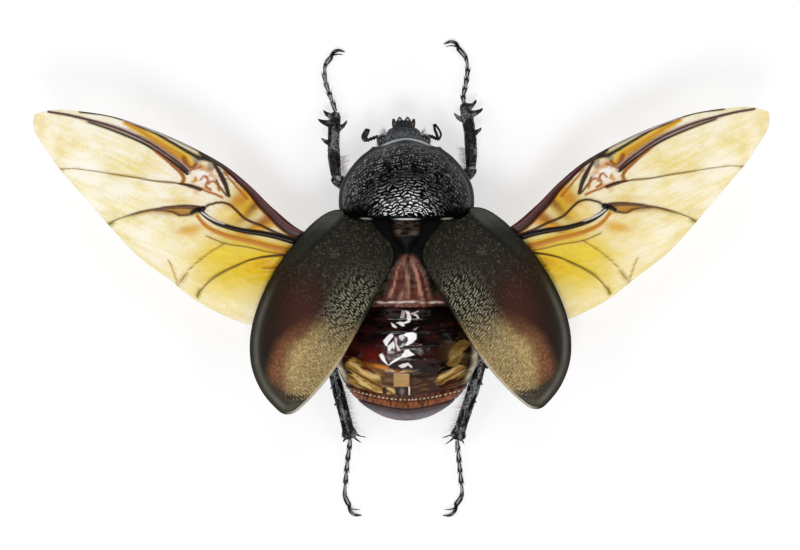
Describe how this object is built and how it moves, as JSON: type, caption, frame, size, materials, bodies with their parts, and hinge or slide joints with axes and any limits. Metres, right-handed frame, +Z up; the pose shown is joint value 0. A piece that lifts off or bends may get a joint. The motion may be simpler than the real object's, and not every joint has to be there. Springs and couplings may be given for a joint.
{
  "type": "caucasus beetle",
  "caption": "Large hornless female rhinoceros beetle as a still spread model, wing cases swung open and amber hind wings out, resting on its feet.",
  "frame": {"origin": "on the floor, at the middle of the whole model's box, just beside the body's midline", "axes": "+X out along the wing span to the beetle's left, +Y from head to tail, +Z up"},
  "size_m": [0.1313, 0.0869, 0.0209],
  "materials": {
    "head_chitin": "rough black chitin, satin",
    "shield_chitin": "wrinkled black chitin, glossy on the wrinkles",
    "leg_chitin": "ridged black chitin, satin gloss",
    "jaw_chitin": "brown chitin, glossy",
    "eye_surface": "smooth black, glossy",
    "thorax_chitin": "red-brown ridged chitin, satin",
    "abdomen_chitin": "wet-looking dark red-brown plates with golden patches",
    "wing_case": "velvety, olive black to red brown and bronze, finely wrinkled",
    "wing_membrane": "thin amber membrane with dark brown veins"
  },
  "bodies": {
    "root": {"head": "head_chitin", "mandible_left": "jaw_chitin", "mandible_right": "jaw_chitin", "eye_left": "eye_surface", "eye_right": "eye_surface", "antenna_left": "leg_chitin", "antenna_right": "leg_chitin", "pronotum": "shield_chitin", "scutellum": "shield_chitin", "thorax": "thorax_chitin", "abdomen": "abdomen_chitin", "pygidium": "abdomen_chitin", "elytron_left": "wing_case", "elytron_right": "wing_case", "hindwing_left": "wing_membrane", "hindwing_right": "wing_membrane", "foreleg_left_femur": "leg_chitin", "foreleg_left_tibia": "leg_chitin", "foreleg_left_tarsus": "leg_chitin", "foreleg_right_femur": "leg_chitin", "foreleg_right_tibia": "leg_chitin", "foreleg_right_tarsus": "leg_chitin", "midleg_left_femur": "leg_chitin", "midleg_left_tibia": "leg_chitin", "midleg_left_tarsus": "leg_chitin", "midleg_right_femur": "leg_chitin", "midleg_right_tibia": "leg_chitin", "midleg_right_tarsus": "leg_chitin", "hindleg_left_femur": "leg_chitin", "hindleg_left_tibia": "leg_chitin", "hindleg_left_tarsus": "leg_chitin", "hindleg_right_femur": "leg_chitin", "hindleg_right_tibia": "leg_chitin", "hindleg_right_tarsus": "leg_chitin"}
  },
  "joints": []
}
